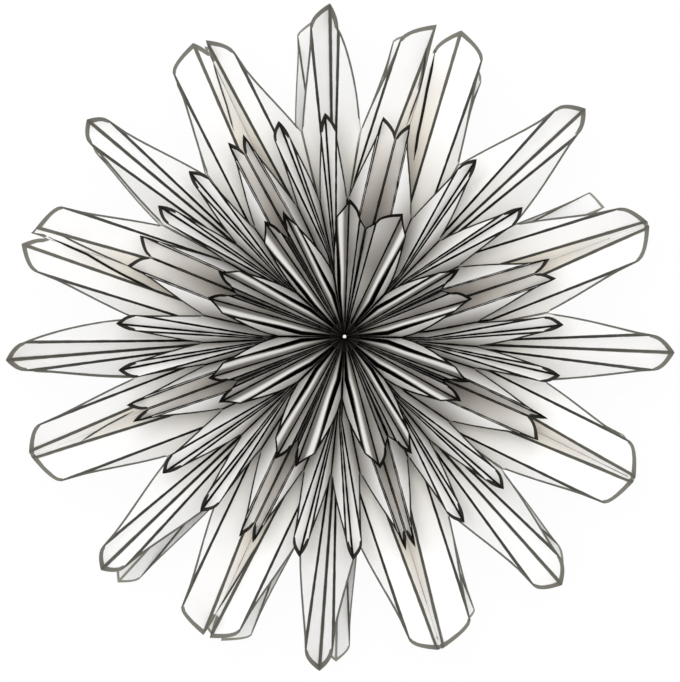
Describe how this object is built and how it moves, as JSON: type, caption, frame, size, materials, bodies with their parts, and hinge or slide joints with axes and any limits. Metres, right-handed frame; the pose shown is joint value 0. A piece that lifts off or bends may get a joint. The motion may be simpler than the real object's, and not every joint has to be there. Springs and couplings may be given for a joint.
{
  "type": "paper christmas star",
  "caption": "Round double-sided christmas star of white folded paper petals with dark cut edges, in tiers of long, medium and short points round a common centre.",
  "frame": {"origin": "centre of the bounding box's bottom, on the surface that the star's back lies on", "axes": "+Z along the star's axis, out of its front face; +X and +Y across the star, with one large point near +X"},
  "size_m": [0.3992, 0.3986, 0.1401],
  "materials": {
    "white_paper": "matte",
    "core_paper": "matte"
  },
  "bodies": {
    "root": {"back_medium_fans": "white_paper", "back_pair_1": "white_paper", "back_pair_2": "white_paper", "back_pair_3": "white_paper", "back_pair_4": "white_paper", "back_pair_5": "white_paper", "back_pair_6": "white_paper", "back_pair_7": "white_paper", "back_pair_8": "white_paper", "back_point_1": "white_paper", "back_point_2": "white_paper", "back_point_3": "white_paper", "back_point_4": "white_paper", "back_point_5": "white_paper", "back_point_6": "white_paper", "back_point_7": "white_paper", "back_point_8": "white_paper", "back_small_fans": "white_paper", "core": "core_paper", "front_medium_fan_1": "white_paper", "front_medium_fan_2": "white_paper", "front_medium_fan_3": "white_paper", "front_medium_fan_4": "white_paper", "front_medium_fan_5": "white_paper", "front_medium_fan_6": "white_paper", "front_medium_fan_7": "white_paper", "front_medium_fan_8": "white_paper", "front_pair_1": "white_paper", "front_pair_2": "white_paper", "front_pair_3": "white_paper", "front_pair_4": "white_paper", "front_pair_5": "white_paper", "front_pair_6": "white_paper", "front_pair_7": "white_paper", "front_pair_8": "white_paper", "front_point_1": "white_paper", "front_point_2": "white_paper", "front_point_3": "white_paper", "front_point_4": "white_paper", "front_point_5": "white_paper", "front_point_6": "white_paper", "front_point_7": "white_paper", "front_point_8": "white_paper", "front_small_fan_1": "white_paper", "front_small_fan_2": "white_paper", "front_small_fan_3": "white_paper", "front_small_fan_4": "white_paper", "front_small_fan_5": "white_paper", "front_small_fan_6": "white_paper", "front_small_fan_7": "white_paper", "front_small_fan_8": "white_paper"}
  },
  "joints": []
}
